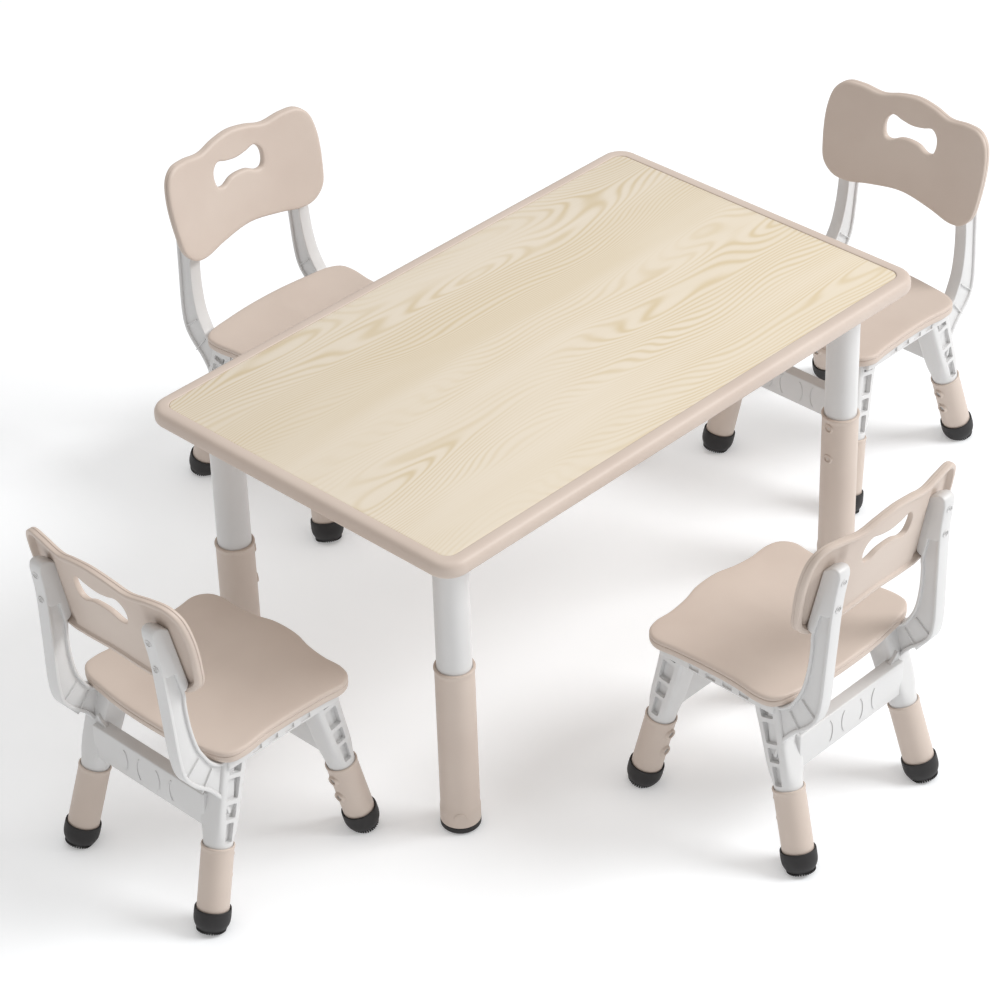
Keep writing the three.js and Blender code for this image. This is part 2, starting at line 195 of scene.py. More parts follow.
def turned(bm, profile, sides=64, place=None):
    """Turn a profile of (radius, height) about Z. It ends on the axis or is a closed loop."""
    place = place or Matrix.Identity(4)
    closed = (Vector(profile[0]) - Vector(profile[-1])).length < 1e-6
    points = profile[:-1] if closed else profile
    columns = []
    for radius, height in points:
        if radius < 1e-6:
            columns.append([bm.verts.new(place @ Vector((0, 0, height)) * MM)])
            continue
        ring = []
        for i in range(sides):
            a = 2 * math.pi * i / sides
            p = place @ Vector((radius * math.cos(a), radius * math.sin(a), height))
            ring.append(bm.verts.new(p * MM))
        columns.append(ring)
    pairs = list(zip(columns, columns[1:]))
    if closed:
        pairs.append((columns[-1], columns[0]))
    for low, high in pairs:
        for i in range(sides):
            j = (i + 1) % sides
            if len(low) == 1 and len(high) == 1:
                continue
            if len(low) == 1:
                bm.faces.new((low[0], high[j], high[i]))
            elif len(high) == 1:
                bm.faces.new((low[i], low[j], high[0]))
            else:
                bm.faces.new((low[i], low[j], high[j], high[i]))


def bevel_caps(bm, faces, size):
    edges = {e for f in faces for e in f.edges}
    bmesh.ops.bevel(
        bm, geom=list(edges), offset=size * MM, offset_type="OFFSET", segments=3, profile=0.5,
        affect="EDGES", clamp_overlap=True,
    )


def prism(bm, outline, low, high, axes="XZY", bevel=1.2, place=None):
    """Push a 2-D outline along a third axis and round its two edges. axes names the outline's two axes
    and the axis it is pushed along."""
    place = place or Matrix.Identity(4)
    order = ["XYZ".index(a) for a in axes]

    def point(p, depth):
        v = [0.0, 0.0, 0.0]
        v[order[0]], v[order[1]], v[order[2]] = p[0], p[1], depth
        return place @ Vector(v)

    part = bmesh.new()
    loft(part, [[point(p, low) for p in outline], [point(p, high) for p in outline]])
    bmesh.ops.recalc_face_normals(part, faces=part.faces)
    if bevel:
        caps = [f for f in part.faces if len(f.verts) == len(outline)]
        bevel_caps(part, caps, bevel)
    add_into(bm, part)


def strip(points, thickness):
    """The outline of a strip of even thickness that follows a line of 2-D points."""
    pts = [Vector(p) for p in points]
    left, right = [], []
    for i, p in enumerate(pts):
        ahead = pts[min(i + 1, len(pts) - 1)] - pts[max(i - 1, 0)]
        normal = Vector((-ahead.y, ahead.x)).normalized() * thickness / 2
        left.append(p + normal)
        right.append(p - normal)
    return left + right[::-1]


def block(bm, low, high, bevel=1.5, place=None, segments=3):
    part = bmesh.new()
    place = place or Matrix.Identity(4)
    bmesh.ops.create_cube(part, size=1.0)
    centre = (Vector(low) + Vector(high)) / 2
    size = Vector(high) - Vector(low)
    for v in part.verts:
        v.co = place @ (centre + Vector((v.co.x * size.x, v.co.y * size.y, v.co.z * size.z))) * MM
    if bevel:
        bmesh.ops.bevel(
            part, geom=list(part.edges), offset=bevel * MM, segments=segments, profile=0.5,
            affect="EDGES", clamp_overlap=True,
        )
    add_into(bm, part)


def add_into(bm, part):
    mesh = bpy.data.meshes.new("part")
    part.to_mesh(mesh)
    part.free()
    bm.from_mesh(mesh)
    bpy.data.meshes.remove(mesh)


def finished_mesh(name, bm, material, sharp=38):
    bmesh.ops.recalc_face_normals(bm, faces=bm.faces)
    mesh = bpy.data.meshes.new(name)
    bm.to_mesh(mesh)
    bm.free()
    mesh.materials.append(material)
    mesh.polygons.foreach_set("use_smooth", [True] * len(mesh.polygons))
    mesh.set_sharp_from_angle(angle=math.radians(sharp))
    return mesh


def piece(name, mesh, body, place=None, replaced=()):
    obj = bpy.data.objects.new(name, mesh)
    bpy.context.scene.collection.objects.link(obj)
    if place is not None:
        obj.matrix_world = place
    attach(obj, body)
    if replaced:
        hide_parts(*replaced)
    return obj


# Materials

class Nodes:
    """A material's node tree with short calls for adding and linking nodes."""

    def __init__(self, name):
        self.material = bpy.data.materials.new(name)
        self.material.use_nodes = True
        self.tree = self.material.node_tree
        self.shader = self.tree.nodes["Principled BSDF"]

    def add(self, kind, inputs=None, **settings):
        node = self.tree.nodes.new(kind)
        for key, value in settings.items():
            setattr(node, key, value)
        for key, value in (inputs or {}).items():
            if isinstance(value, bpy.types.NodeSocket):
                self.tree.links.new(value, node.inputs[key])
            else:
                node.inputs[key].default_value = value
        return node

    def link(self, output, name):
        self.tree.links.new(output, self.shader.inputs[name])

    def math(self, operation, a, b=0.0, c=0.0):
        return self.add("ShaderNodeMath", {0: a, 1: b, 2: c}, operation=operation).outputs[0]

    def ramp(self, factor, stops):
        node = self.add("ShaderNodeValToRGB", {"Fac": factor})
        elements = node.color_ramp.elements
        while len(elements) < len(stops):
            elements.new(0.5)
        for element, (position, colour) in zip(elements, stops):
            element.position = position
            element.color = (*colour, 1.0)
        return node.outputs["Color"]

    def spread(self, factor, low, high):
        return self.add(
            "ShaderNodeMapRange", {"Value": factor, "To Min": low, "To Max": high}
        ).outputs["Result"]


def linear(red, green, blue):
    """A display colour from 0 to 255 as linear light."""
    result = []
    for value in (red, green, blue):
        c = value / 255
        result.append(c / 12.92 if c <= 0.04045 else ((c + 0.055) / 1.055) ** 2.4)
    return tuple(result)


def plastic(name, colour, darker, roughness, grain, grain_height, edge=0.9, specular=0.45):
    """Moulded plastic: faint cloudiness, a fine mould texture and slightly uneven gloss."""
    n = Nodes(name)
    place = n.add("ShaderNodeTexCoord").outputs["Object"]
    clouds = n.add("ShaderNodeTexNoise", {"Vector": place, "Scale": 9.0, "Detail": 3.0}).outputs["Fac"]
    n.link(n.ramp(clouds, [(0.3, darker), (0.7, colour)]), "Base Color")
    fine = n.add("ShaderNodeTexNoise", {"Vector": place, "Scale": grain, "Detail": 2.0}).outputs["Fac"]
    n.link(n.spread(fine, roughness - 0.05, roughness + 0.06), "Roughness")
    rounded = n.add("ShaderNodeBevel", {"Radius": edge * MM}, samples=4).outputs["Normal"]
    bump = n.add(
        "ShaderNodeBump",
        {"Height": fine, "Strength": 0.25, "Distance": grain_height * MM, "Normal": rounded},
    )
    n.link(bump.outputs["Normal"], "Normal")
    n.shader.inputs["Specular IOR Level"].default_value = specular
    return n.material


def rubber():
    n = Nodes("black_rubber")
    place = n.add("ShaderNodeTexCoord").outputs["Object"]
    dust = n.add("ShaderNodeTexNoise", {"Vector": place, "Scale": 60.0, "Detail": 4.0}).outputs["Fac"]
    n.link(n.ramp(dust, [(0.35, linear(27, 25, 26)), (0.75, linear(37, 35, 36))]), "Base Color")
    n.link(n.spread(dust, 0.5, 0.66), "Roughness")
    bump = n.add("ShaderNodeBump", {"Height": dust, "Strength": 0.3, "Distance": 0.2 * MM})
    n.link(bump.outputs["Normal"], "Normal")
    return n.material


def steel():
    n = Nodes("screw_steel")
    place = n.add("ShaderNodeTexCoord").outputs["Object"]
    brush = n.add("ShaderNodeTexNoise", {"Vector": place, "Scale": 900.0, "Detail": 2.0}).outputs["Fac"]
    n.link(n.ramp(brush, [(0.3, (0.42, 0.41, 0.40)), (0.7, (0.62, 0.61, 0.60))]), "Base Color")
    n.link(n.spread(brush, 0.28, 0.42), "Roughness")
    n.shader.inputs["Metallic"].default_value = 1.0
    return n.material


def laminate():
    """Pale wood print: fine growth lines along X that swirl into nested arches, over faint broad bands."""
    n = Nodes("wood_laminate")
    place = n.add("ShaderNodeTexCoord").outputs["Object"]
    across = n.add("ShaderNodeSeparateXYZ", {"Vector": place}).outputs["Y"]

    def stretched(along_x, along_y, detail, roughness=0.5):
        scaled = n.add("ShaderNodeMapping", {"Vector": place, "Scale": (along_x, along_y, 1.0)})
        noise = n.add("ShaderNodeTexNoise", {
            "Vector": scaled.outputs["Vector"], "Scale": 1.0, "Detail": detail, "Roughness": roughness,
        })
        return noise.outputs["Fac"]

    swirl = n.math("MULTIPLY", stretched(1.7, 7.5, 1.5, 0.35), 46.0)
    rings = n.math("ADD", n.math("MULTIPLY", across, 120.0), swirl)
    wave = n.math("SINE", n.math("MULTIPLY", rings, 2 * math.pi))
    lines = n.math("POWER", n.math("MULTIPLY_ADD", wave, 0.5, 0.5), 2.0)
    fibres = stretched(5.0, 420.0, 4.0, 0.65)
    fade = n.ramp(stretched(2.2, 9.0, 2.0), [(0.38, (0.12, 0.12, 0.12)), (0.62, (0.95, 0.95, 0.95))])
    base = n.ramp(stretched(0.6, 11.0, 1.0), [(0.35, linear(231, 222, 207)), (0.65, linear(226, 216, 198))])

    def blend(factor, under, colour):
        mix = n.add("ShaderNodeMix", data_type="RGBA", blend_type="MIX")
        n.tree.links.new(factor, mix.inputs["Factor"])
        n.tree.links.new(under, mix.inputs["A"])
        mix.inputs["B"].default_value = (*colour, 1.0)
        return mix.outputs["Result"]

    grain = blend(n.math("MULTIPLY", lines, fade), base, linear(212, 196, 164))
    n.link(blend(n.spread(fibres, 0.0, 0.3), grain, linear(214, 197, 168)), "Base Color")
    n.link(n.spread(fibres, 0.36, 0.5), "Roughness")
    bump = n.add("ShaderNodeBump", {"Height": fibres, "Strength": 0.12, "Distance": 0.1 * MM})
    n.link(bump.outputs["Normal"], "Normal")
    return n.material


BEIGE = plastic("beige_plastic", linear(209, 195, 184), linear(204, 189, 178), 0.46, 1500.0, 0.05)
WHITE = plastic("white_plastic", linear(221, 221, 221), linear(217, 217, 217), 0.36, 1300.0, 0.03)
RUBBER = rubber()
STEEL = steel()
WOOD = laminate()


# Table

def rounded_rectangle(length, width, radius, steps=12):
    x, y = length / 2 - radius, width / 2 - radius
    points = []
    for cx, cy, start in ((x, y, 0), (-x, y, 90), (-x, -y, 180), (x, -y, 270)):
        for k in range(steps + 1):
            a = math.radians(start + 90 * k / steps)
            points.append((cx + radius * math.cos(a), cy + radius * math.sin(a)))
    return points


def inset_rings(length, width, radius, steps):
    """Rings of a rounded rectangle: each step is (distance in from the edge, height)."""
    rings = []
    for inset, height in steps:
        outline = rounded_rectangle(length - 2 * inset, width - 2 * inset, max(radius - inset, 1.0))
        rings.append([(x, y, height) for x, y in outline])
    return rings


def table_centre():
    low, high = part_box("table_top_panel")
    return Vector(((low[0] + high[0]) / 2, (low[1] + high[1]) / 2, 0))


TABLE = table_centre()
TABLE_PLACE = Matrix.Translation(TABLE)


def shell_mesh():
    low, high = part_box("table_top_shell")
    length, width = (high[0] - low[0]) / MM, (high[1] - low[1]) / MM
    top = high[2] / MM
    bottom = top - SHELL_THICKNESS
    outside = [
        (RIM_WIDTH + 9, bottom + 6.0), (RIM_WIDTH + 8.0, bottom + 0.6), (RIM_WIDTH + 7, bottom),
        (7.0, bottom), (4.4, bottom + 0.9), (2.0, bottom + 3.0),
        (0.6, bottom + 5.6), (0.0, bottom + 9.0), (0.0, top - 10.5), (0.5, top - 7.4),
        (1.9, top - 4.4), (4.2, top - 2.0), (7.2, top - 0.7), (10.5, top - 0.1), (14.0, top),
        (18.6, top - 0.05), (20.0, top - 0.25), (20.7, top - 0.7), (21.0, top - 1.5), (21.0, top - 8.0),
    ]
    bm = bmesh.new()
    rings = inset_rings(length, width, RIM_RADIUS, outside)
    # the pocket's corner is rounder than a plain inset would leave it
    for index, (inset, height) in enumerate(outside):
        if inset >= 14.0 and height > top - 9:
            radius = PANEL_RADIUS + RIM_WIDTH - inset
            outline = rounded_rectangle(length - 2 * inset, width - 2 * inset, radius)
            rings[index] = [(x, y, height) for x, y in outline]
    loft(bm, rings)
    # stiffening ribs under the top
    rib_bottom, rib_top = bottom + 0.4, bottom + 7
    reach_x, reach_y = length / 2 - 28, width / 2 - 28
    for x in (-350, -175, 0, 175, 350):
        block(bm, (x - 2, -reach_y, rib_bottom), (x + 2, reach_y, rib_top), 0.6)
    for y in (-130, 0, 130):
        block(bm, (-reach_x, y - 2, rib_bottom), (reach_x, y + 2, rib_top), 0.6)
    return finished_mesh("table_top_shell_visual", bm, BEIGE)


def panel_mesh():
    low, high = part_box("table_top_panel")
    length, width = (high[0] - low[0]) / MM, (high[1] - low[1]) / MM
    top = high[2] / MM
    steps = [(0.0, low[2] / MM), (0.0, top - 0.9), (0.25, top - 0.3), (0.9, top)]
    bm = bmesh.new()
    loft(bm, inset_rings(length, width, PANEL_RADIUS, steps))
    return finished_mesh("table_top_panel_visual", bm, WOOD)


def socket_profile(bottom):
    outline = [(25.4, bottom + 5), (31, bottom + 5), (31, bottom - 15), (25.4, bottom - 15)]
    return closed_profile(outline, 1.5)


def tube_profile(outer, inner, bottom, top):
    return closed_profile([(inner, bottom), (outer, bottom), (outer, top), (inner, top)], 1.0)


def table_sleeve_mesh(bottom, top):
    inner = TUBE_RADIUS + 0.3
    r = SLEEVE_RADIUS
    outline = [
        (inner, bottom), (r + 0.5, bottom), (r + 0.5, bottom + 22), (r - 0.4, bottom + 30),
        (r - 0.6, top - 9), (r + 0.2, top - 5.5), (r + 0.9, top - 3.2), (r + 0.6, top - 0.9),
        (r - 0.6, top), (inner + 0.3, top), (inner, top - 1),
    ]
    bm = bmesh.new()
    turned(bm, closed_profile(outline, 1.2), 72)
    return bm


def screw(bm, steel_bm, place, boss=7.2, head=4.2, rise=2.2):
    """A round boss on a wall and the cross-head screw sunk in it. Z points out of the wall."""
    wall = [(boss + 1.6, -1.5), (boss + 0.8, rise * 0.3), (boss, rise * 0.8), (boss - 0.7, rise),
            (head + 1.5, rise), (head + 1.0, rise - 0.6), (head + 0.7, -1.2), (0, -1.2)]
    turned(bm, wall, 40, place)
    dome = [(head, -1.4), (head, rise - 2.9), (head - 0.5, rise - 2.2), (head * 0.55, rise - 1.8),
            (0, rise - 1.7)]
    turned(steel_bm, dome, 36, place)
    for turn in (0, 90):
        slot_place = place @ Matrix.Rotation(math.radians(turn + 45), 4, "Z")
        block(steel_bm, (-2.4, -0.35, rise - 2.2), (2.4, 0.35, rise - 1.55), 0.12, slot_place, 1)


def facing(point, direction):
    """A place whose Z axis points along direction."""
    z = Vector(direction).normalized()
    x = Vector((0, 0, 1)).cross(z)
    x.normalize()
    y = z.cross(x)
    matrix = Matrix((x, y, z)).transposed().to_4x4()
    return Matrix.Translation(Vector(point)) @ matrix


def build_table():
    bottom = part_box("table_top_shell")[1][2] / MM - SHELL_THICKNESS
    piece("table_top_rim", shell_mesh(), "table_upper", TABLE_PLACE, ["table_top_shell"])
    piece("table_top_laminate", panel_mesh(), "table_upper", TABLE_PLACE,
          ["table_top_panel"])
    for corner in TABLE_CORNERS:
        tube_low, tube_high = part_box(f"table_leg_tube_{corner}")
        sleeve_low, sleeve_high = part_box(f"table_leg_sleeve_{corner}")
        centre = Vector(((tube_low[0] + tube_high[0]) / 2, (tube_low[1] + tube_high[1]) / 2, 0))
        place = Matrix.Translation(centre)

        bm = bmesh.new()
        turned(bm, socket_profile(bottom))
        mesh = finished_mesh(f"table_socket_mesh_{corner}", bm, BEIGE)
        piece(f"table_socket_{corner}", mesh, "table_upper", place)

        bm = bmesh.new()
        turned(bm, tube_profile(TUBE_RADIUS, TUBE_RADIUS - 3, tube_low[2] / MM, tube_high[2] / MM))
        mesh = finished_mesh(f"table_tube_mesh_{corner}", bm, WHITE)
        piece(f"table_tube_{corner}", mesh, "table_upper", place,
              [f"table_leg_tube_{corner}"])

        top = sleeve_high[2] / MM
        bm = table_sleeve_mesh(sleeve_low[2] / MM, top)
        steel_bm = bmesh.new()
        heading = math.radians(SCREW_HEADINGS[corner])
        out = Vector((math.cos(heading), math.sin(heading), 0))
        for drop in SCREW_DROPS:
            screw(bm, steel_bm, facing(out * (SLEEVE_RADIUS - 1.2) + Vector((0, 0, top - drop)), out))
        for heading in CRESCENT_HEADINGS:
            crescent(bm, math.radians(heading), CRESCENT_HEIGHT)
        mesh = finished_mesh(f"table_sleeve_mesh_{corner}", bm, BEIGE)
        piece(f"table_sleeve_{corner}", mesh, "table_lower_legs", place,
              [f"table_leg_sleeve_{corner}"])
        mesh = finished_mesh(f"table_screws_mesh_{corner}", steel_bm, STEEL)
        piece(f"table_screws_{corner}", mesh, "table_lower_legs", place)

        bm = bmesh.new()
        r = FOOT_RADIUS
        cap = soften([(0.01, 0), (r - 3, 0), (r, 3.5), (r, 10.8), (r - 1, 11.2), (24.9, 11.2),
                      (24.9, FOOT_PLUG_TOP), (0.01, FOOT_PLUG_TOP)], 1.2, closed=False)
        turned(bm, [(0, 0)] + [tuple(p) for p in cap[1:-1]] + [(0, FOOT_PLUG_TOP)])
        mesh = finished_mesh(f"table_foot_mesh_{corner}", bm, RUBBER)
        piece(f"table_foot_{corner}", mesh, "table_lower_legs", place,
              [f"table_leg_foot_{corner}"])


def crescent(bm, heading, height):
    """A shallow half-moon line raised on the lower sleeve, on the side that faces the given heading."""
    r = SLEEVE_RADIUS + 0.4
    rings = []
    for k in range(25):
        a = math.pi * k / 24
        across, up = CRESCENT_RADIUS * math.cos(a), height + CRESCENT_RADIUS * math.sin(a)
        turn = math.asin(across / r) + heading
        out = Vector((math.cos(turn), math.sin(turn), 0))
        centre = Vector((out.x * r, out.y * r, up))
        tangent = Vector((-out.y, out.x, 0)) * -math.sin(a) + Vector((0, 0, math.cos(a)))
        normal = tangent.cross(out).normalized()
        ring = []
        for j in range(8):
            b = 2 * math.pi * j / 8
            ring.append(centre + normal * 0.7 * math.cos(b) + out * 0.6 * math.sin(b))
        rings.append(ring)
    loft(bm, rings)


# Chair

def leg_place(leg, side):
    up = Vector((leg["lean_x"], side * leg["lean_y"], 1)).normalized()
    turn = Vector((0, 0, 1)).rotation_difference(up).to_matrix().to_4x4()
    return Matrix.Translation(Vector((leg["x"], side * leg["y"], 0))) @ turn


SEAT_HALF = [
    (0, 148), (25, 146.5), (52, 140), (88, 136.5), (120, 137), (141, 129.5), (152.5, 111), (150, 78),
    (147, 20), (147.5, -30), (152, -74), (148, -95), (132, -107), (85, -115.5), (40, -120), (0, -121),
]


def seat_outline(count):
    return [Vector((p.y, p.x)) for p in smooth_loop(mirrored(SEAT_HALF), count)]


def seat_surface(x, y):
    """How far the sitting surface lies below the rim: a saddle with two thigh hollows."""
    across = abs(y) / 149
    along = (x + 121) / 269
    hollow = 4.2 * math.exp(-((along - 0.38) / 0.30) ** 2) * math.exp(-((across - 0.42) / 0.42) ** 2)
    thigh = 3.4 * math.exp(-((along - 1.0) / 0.28) ** 2) * math.exp(-((across - 0.60) / 0.26) ** 2)
    nose = -1.6 * math.exp(-((along - 0.95) / 0.25) ** 2) * math.exp(-(across / 0.25) ** 2)
    return hollow + thigh + nose


def seat_mesh():
    count = 160
    outline = seat_outline(count)
    centre = Vector((10, 0))
    bottom = SEAT_TOP - SEAT_THICKNESS
    # distance in from the edge, height
    edge = [
        (16, bottom + 4), (9, bottom + 1.4), (8, bottom), (3.0, bottom), (1.2, bottom + 0.8),
        (0.3, bottom + 2.4), (0, bottom + 4.4), (0, bottom + 9.4), (0.3, bottom + 9.9),
        (1.2, bottom + 10.3), (1.2, bottom + 11.0),
        (0.3, bottom + 11.4), (0, bottom + 11.9), (0, bottom + 14.0), (0.5, bottom + 15.7),
        (1.5, bottom + 16.9), (3.0, bottom + 17.6), (5.0, bottom + 18.0),
    ]
    rings = []
    for inset, height in edge:
        ring = []
        for p in outline:
            out = p - centre
            q = centre + out.normalized() * (out.length - inset)
            share = min(max((height - bottom - 12) / 6, 0), 1)
            ring.append((q.x, q.y, height - seat_surface(q.x, q.y) * 0.55 * share))
        rings.append(ring)
    for share in (0.96, 0.9, 0.84, 0.78, 0.7, 0.6, 0.5, 0.4, 0.3, 0.2, 0.1, 0.03):
        ring = []
        for p in outline:
            out = p - centre
            q = centre + out.normalized() * ((out.length - 5.0) * share)
            blend = min((1 - share) / 0.25, 1)
            dip = seat_surface(q.x, q.y) * (0.55 + 0.45 * blend) + 0.8 * blend
            ring.append((q.x, q.y, SEAT_TOP - dip))
        rings.append(ring)
    bm = bmesh.new()
    loft(bm, rings)
    return finished_mesh("chair_seat_mesh", bm, BEIGE)


BACK_HALF = [
    (0, 562), (35.5, 557.5), (67, 550), (104, 554.5), (132, 553.5), (149.5, 540), (158, 508), (156, 452),
    (148.5, 418), (129, 399), (104, 394), (59, 401), (0, 408),
]
SLOT_HALF = [
    (0, 517), (22, 520), (38.5, 524), (49, 515), (51.5, 499), (46, 485.5), (35.5, 483.5), (18, 491),
    (0, 493),
]


def back_front(y, z):
    lean = math.tan(BACK_TILT) * (z - BACK_REFERENCE_Z)
    return BACK_FRONT_X - lean + BACK_CURVE * (y / BACK_HALF_WIDTH) ** 2


def offset_inwards(outline, distance):
    """Move a closed anticlockwise or clockwise outline towards its inside."""
    n = len(outline)
    area = sum(outline[i].cross(outline[(i + 1) % n]) for i in range(n))
    sign = 1 if area > 0 else -1
    result = []
    for i, p in enumerate(outline):
        tangent = (outline[(i + 1) % n] - outline[i - 1]).normalized()
        result.append(p + Vector((-tangent.y, tangent.x)) * sign * distance)
    return result


def backrest_mesh():
    """A bowed plate: rolled front edge with a fine groove, a recessed rear and a handle slot."""
    count = 180
    outer = smooth_loop(mirrored(BACK_HALF), count)
    slot = smooth_loop(mirrored(SLOT_HALF), count)
    t = BACK_THICKNESS

    def ring(outline, inset, depth):
        return [(back_front(p.x, p.y) - depth, p.x, p.y) for p in offset_inwards(outline, inset)]

    def between(first, last, depth, steps=14):
        rings = []
        for k in range(1, steps):
            points = [a.lerp(b, k / steps) for a, b in zip(first, last)]
            rings.append([(back_front(p.x, p.y) - depth(p.x), p.x, p.y) for p in points])
        return rings

    def recess(y):
        share = min(max((abs(y) - 88) / 12, 0), 1)
        return BACK_MIDDLE + (BACK_SKIN - BACK_MIDDLE) * share * share * (3 - 2 * share)

    # distance in from the edge, depth behind the front surface
    rim = [
        (5.0, 0.0), (2.6, 0.5), (0.9, 1.8), (0.15, 3.6), (0, 5.2), (0, 5.9), (0.7, 6.3), (0.7, 6.8),
        (0, 7.2), (0, 10.8), (0.5, 12.6), (1.8, 13.7), (3.6, t), (6.0, t), (7.3, t - 0.5), (7.9, t - 1.6),
    ]
    hole = [
        (-4.0, BACK_MIDDLE), (-2.0, BACK_MIDDLE), (-0.6, 9.6), (0, 8.6), (0, 4.0), (-0.6, 1.8), (-1.8, 0.5),
        (-3.6, 0.0),
    ]
    rear = between(offset_inwards(outer, 8.2), offset_inwards(slot, -4.0), recess, 26)
    front = between(offset_inwards(slot, -3.6), offset_inwards(outer, 5.0), lambda y: 0.0)
    rings = [ring(outer, i, d) for i, d in rim] + rear + [ring(slot, i, d) for i, d in hole] + front
    bm = bmesh.new()
    loft(bm, rings, closed_path=True)
    return finished_mesh("chair_backrest_mesh", bm, BEIGE)


def superellipse(half_x, half_y, power, count=56):
    points = []
    for i in range(count):
        a = 2 * math.pi * i / count
        c, s = math.cos(a), math.sin(a)
        points.append((
            math.copysign(abs(c) ** (2 / power), c) * half_x,
            math.copysign(abs(s) ** (2 / power), s) * half_y,
        ))
    return points


def leg_rings(place, half_width_top):
    """From the round stub up to the square head of a leg."""
    rings = []
    for height, half, power in (
        (44, STUB_RADIUS - 1, 2), (46, STUB_RADIUS, 2), (134, STUB_RADIUS, 2),
        (140, STUB_RADIUS - 0.1, 2.3),
        (147, STUB_RADIUS - 0.6, 3.0), (155, STUB_RADIUS - 0.6, 4.2), (175, STUB_RADIUS - 0.2, 6),
        (215, STUB_RADIUS + 0.6, 7), (252, half_width_top, 8), (266, half_width_top + 0.4, 8),
    ):
        rings.append([place @ Vector((x, y, height)) for x, y in superellipse(half, half, power)])
    return rings


def cut(obj, cutter):
    modifier = obj.modifiers.new("cut", "BOOLEAN")
    modifier.operation = "DIFFERENCE"
    modifier.solver = "EXACT"
    modifier.object = cutter
    graph = bpy.context.evaluated_depsgraph_get()
    mesh = bpy.data.meshes.new_from_object(obj.evaluated_get(graph))
    obj.modifiers.clear()
    old = obj.data
    obj.data = mesh
    bpy.data.meshes.remove(old)


def carve(bm, cutter_bm):
    """Subtract one bmesh from another."""
    objects = []
    for part in (bm, cutter_bm):
        bmesh.ops.recalc_face_normals(part, faces=part.faces)
        mesh = bpy.data.meshes.new("carve")
        part.to_mesh(mesh)
        part.free()
        obj = bpy.data.objects.new("carve", mesh)
        bpy.context.scene.collection.objects.link(obj)
        objects.append(obj)
    cut(*objects)
    result = bmesh.new()
    result.from_mesh(objects[0].data)
    for obj in objects:
        mesh = obj.data
        bpy.data.objects.remove(obj)
        bpy.data.meshes.remove(mesh)
    return result


def upper_leg(bm, leg, side):
    """One moulded leg above its sleeve, with four pockets in its outer face."""
    place = leg_place(leg, side)
    solid = bmesh.new()
    loft(solid, leg_rings(place, LEG_HEAD_HALF))
    level = bmesh.new()
    block(level, (-200, -200, FRAME_TOP), (200, 200, FRAME_TOP + 60), 0)
    solid = carve(solid, level)
    pockets = bmesh.new()
    for low, high, width in ((138, 168, 12), (174, 196, 17), (203, 236, 20), (243, 262, 21)):
        half = width / 2
        outline = soften([(-half, low), (half, low), (half + 0.5, high), (-half - 0.5, high)], 2.5)
        deep = 13 * side
        far = 32 * side
        prism(pockets, outline, min(deep, far), max(deep, far), "XZY", 0, place)
    add_into(bm, carve(solid, pockets))


def upright_y(z):
    return UPRIGHT_Y + UPRIGHT_SPLAY * (UPRIGHT_REFERENCE_Z - z)


def upright(side):
    """One upright with the elbow that carries it forwards under the seat, channelled on both faces."""
    bm = bmesh.new()

    def slab(points, width, bevel=1.2):
        prism(bm, points, -width / 2, width / 2, "XZY", bevel)

    def clear_of_back(z):
        return back_front(UPRIGHT_Y - 9, z) - BACK_THICKNESS - 0.6

    def in_recess(z):
        return back_front(UPRIGHT_Y, z) - BACK_SKIN - 0.4

    rear = smooth_loop([
        (-182.6, 508), (-176.3, 458), (-172.3, 380), (-167.4, 291), (-161, 267), (-147.5, 249), (-127, 231),
        (-109.5, 208), (-101.5, 186), (-99, 176),
    ], 48, closed=False)
    front = smooth_loop([
        (clear_of_back(440) - 2.4, 440), (clear_of_back(398) - 2.4, 398), (-147.6, 384), (-145, 345),
        (-137, 306), (-126, 283), (-117, 269), (-105, 260), (-88, 256),
    ], 40, closed=False)
    web = [p + Vector((1, 0)) for p in rear] + [Vector((-88, 176)), Vector((-78, 250))]
    web += [p.copy() for p in reversed(front)]
    slab(web, UPRIGHT_WIDTH - 7, 0.8)
    slab(strip(rear, 5.5), UPRIGHT_WIDTH, 1.6)
    slab(strip(front, 4.6), UPRIGHT_WIDTH, 1.6)
    head = [
        (-186, 507), (-184.8, 516), (-179, 520), (-171, 518.5), (in_recess(508), 510),
        (in_recess(409), 409), (clear_of_back(403), 403), (clear_of_back(403) - 5, 407), (-156, 438),
        (-172, 440), (-176.6, 446),
    ]
    slab(soften(head, 4, 5), UPRIGHT_WIDTH + 0.8, 2.4)
    for a, b in (((-163, 268), (-137, 290)), ((-140, 234), (-118, 262))):
        slab(strip([Vector(a), Vector(b)], 1.6), UPRIGHT_WIDTH - 1, 0.4)
    for v in bm.verts:
        v.co.y += side * upright_y(v.co.z / MM) * MM
    return bm


def side_rail(side):
    """The rail under the seat's edge, with a row of shallow pockets in its outer face."""
    rail, pockets = bmesh.new(), bmesh.new()
    inner, outer = side * 123, side * 142
    block(rail, (-95, min(inner, outer), 247.5), (110, max(inner, outer), FRAME_TOP), 1.6)
    for x in (-52, -22, 8, 38):
        ends = sorted((side * 139.5, side * 150))
        block(pockets, (x, ends[0], 251), (x + 17, ends[1], 259), 1.0)
    return carve(rail, pockets)


def side_frame_mesh(side):
    """Upright, elbow, side rail and both upper legs of one side, as one moulding."""
    bm = bmesh.new()
    add_into(bm, upright(side))
    upper_leg(bm, REAR_LEG, side)
    upper_leg(bm, FRONT_LEG, side)
    add_into(bm, side_rail(side))
    return finished_mesh(f"chair_side_frame_mesh_{'left' if side > 0 else 'right'}", bm, WHITE)


